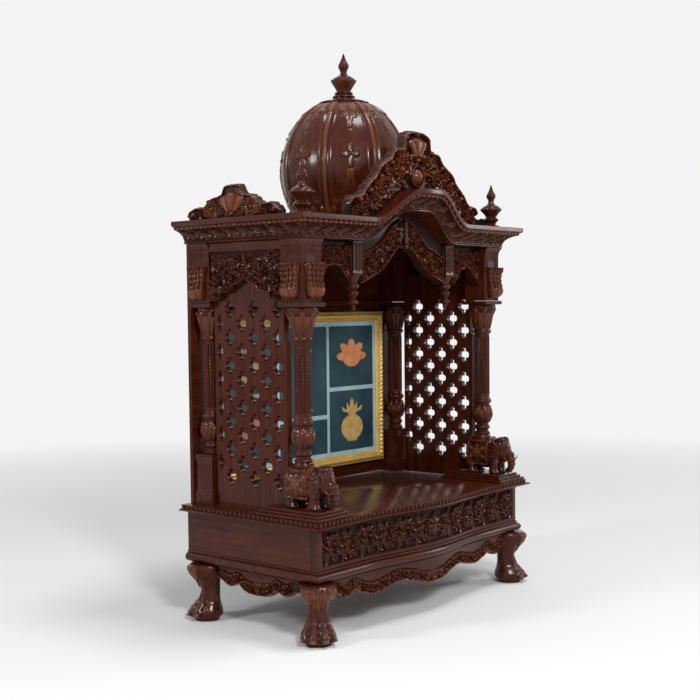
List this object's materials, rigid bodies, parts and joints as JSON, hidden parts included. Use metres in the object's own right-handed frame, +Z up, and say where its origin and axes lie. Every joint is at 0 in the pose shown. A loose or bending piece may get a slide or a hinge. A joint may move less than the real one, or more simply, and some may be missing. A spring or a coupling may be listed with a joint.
{
  "type": "pooja mandir",
  "caption": "Free-standing household shrine in dark carved wood: paw-foot base box, open columned bay with pierced side screens, arched cornice, crest and ribbed dome.",
  "frame": {"origin": "on the floor, in the middle of the overall width and depth", "axes": "+X to the right along the open front, +Y from the front to the back wall, +Z up"},
  "size_m": [0.762, 0.406, 1.194],
  "materials": {
    "lacquered_wood": "gloss lacquer",
    "carved_wood": "gloss lacquer",
    "gilt": "gilt satin",
    "print": "satin"
  },
  "bodies": {
    "root": {"apron_front": "carved_wood", "apron_left": "carved_wood", "apron_right": "carved_wood", "back_wall": "lacquered_wood", "base_back": "lacquered_wood", "base_front": "lacquered_wood", "base_left": "lacquered_wood", "base_moulding": "lacquered_wood", "base_right": "lacquered_wood", "column_back_left": "carved_wood", "column_back_right": "carved_wood", "column_front_left": "carved_wood", "column_front_right": "carved_wood", "cornice_front": "lacquered_wood", "cornice_left": "lacquered_wood", "cornice_right": "lacquered_wood", "crest_front": "carved_wood", "crest_left": "carved_wood", "crest_right": "carved_wood", "deck": "lacquered_wood", "dome": "lacquered_wood", "dome_finial": "lacquered_wood", "drop_left": "carved_wood", "drop_right": "carved_wood", "elephant_left": "carved_wood", "elephant_right": "carved_wood", "finial_left": "carved_wood", "finial_right": "carved_wood", "frieze_left": "carved_wood", "frieze_right": "carved_wood", "head_back_left": "carved_wood", "head_back_right": "carved_wood", "head_front_left": "carved_wood", "head_front_right": "carved_wood", "jali_left": "lacquered_wood", "jali_right": "lacquered_wood", "leg_back_left": "carved_wood", "leg_back_right": "carved_wood", "leg_front_left": "carved_wood", "leg_front_right": "carved_wood", "picture_frame": "gilt", "picture_panel": "print", "plinth_left": "lacquered_wood", "plinth_right": "lacquered_wood", "roof_board": "lacquered_wood", "valance_left": "carved_wood", "valance_middle": "carved_wood", "valance_right": "carved_wood"}
  },
  "joints": []
}
